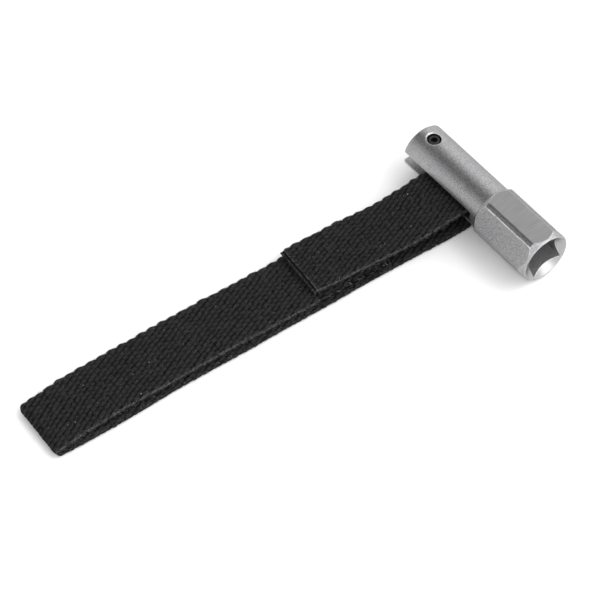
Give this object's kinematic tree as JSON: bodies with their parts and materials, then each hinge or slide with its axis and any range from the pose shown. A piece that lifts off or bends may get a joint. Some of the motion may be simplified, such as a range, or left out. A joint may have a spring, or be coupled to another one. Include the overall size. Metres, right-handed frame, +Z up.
{
  "type": "strap wrench",
  "caption": "Strap wrench: steel body with a hexagonal square-drive head and a slotted round shank, and a sewn loop of flat webbing kept in the slot by a set screw.",
  "frame": {"origin": "centre of the bounding box on the surface that the tool lies on", "axes": "+X along the steel body towards its square drive, +Y from the folded end of the loop towards the steel body, +Z up, square to the strap's slot"},
  "size_m": [0.0709, 0.1998, 0.0224],
  "materials": {
    "steel": "satin nickel-chrome plate over machined steel",
    "black_steel": "black oxide",
    "webbing": "heavy black ribbed webbing",
    "thread": "black bonded sewing thread"
  },
  "bodies": {
    "tool_body": {"drive_body": "steel"},
    "set_screw": {"retaining_screw": "black_steel"},
    "strap_base": {"strap_wrap": "webbing"},
    "strap_near": {"strap_top_layer": "webbing", "strap_lap_underlay": "webbing", "strap_near_lower": "webbing", "lap_stitching": "thread"},
    "strap_mid": {"strap_mid_upper": "webbing", "strap_mid_lower": "webbing"},
    "strap_far": {"strap_far_fold": "webbing"}
  },
  "joints": [
    {"name": "screw_travel", "type": "slide", "parent": "tool_body", "child": "set_screw", "axis": [0, 0, 1], "range_m": [0, 0.008]},
    {"name": "strap_shift", "type": "slide", "parent": "tool_body", "child": "strap_base", "axis": [1, 0, 0], "range_m": [-0.001, 0.0027]},
    {"name": "strap_lift", "type": "hinge", "parent": "strap_base", "child": "strap_near", "pos_m": [-0.01228, 0.07626, 0.01225], "axis": [-0.9999, 0.0115, 0], "range_deg": [0, 90]},
    {"name": "strap_bend_mid", "type": "hinge", "parent": "strap_near", "child": "strap_mid", "pos_m": [-0.0179, 0.00426, 0.0047], "axis": [-0.9971, 0.0758, 0], "range_deg": [0, 90]},
    {"name": "strap_bend_tip", "type": "hinge", "parent": "strap_mid", "child": "strap_far", "pos_m": [-0.02145, -0.04774, 0.0047], "axis": [-0.9987, 0.0506, 0], "range_deg": [0, 90]}
  ]
}
